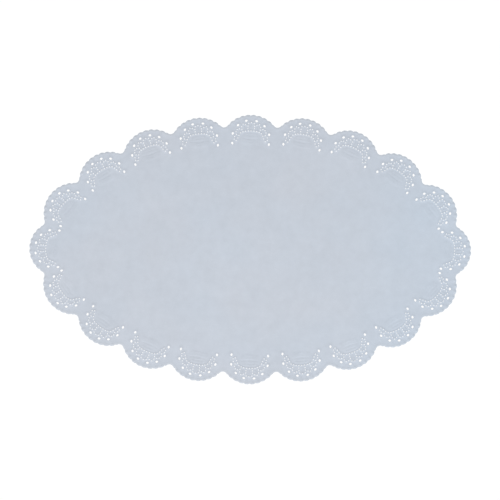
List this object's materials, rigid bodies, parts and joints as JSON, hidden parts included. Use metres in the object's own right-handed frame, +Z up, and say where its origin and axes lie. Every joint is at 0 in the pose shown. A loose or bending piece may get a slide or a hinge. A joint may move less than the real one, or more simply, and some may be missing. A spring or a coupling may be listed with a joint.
{
  "type": "oval paper doily",
  "caption": "Flat oval table doily of punched and embossed paper, with a scalloped edge of small picots and a fan of lace holes in each scallop.",
  "frame": {"origin": "centre of the sheet's underside, on the surface it lies on", "axes": "+X along the oval's long axis, +Y along its short axis, +Z up through the sheet, towards the embossed side"},
  "size_m": [0.3, 0.183, 0.001],
  "materials": {
    "paper": "matt, thin cool white lace paper, finely embossed round its edge"
  },
  "bodies": {
    "root": {"doily": "paper"}
  },
  "joints": []
}
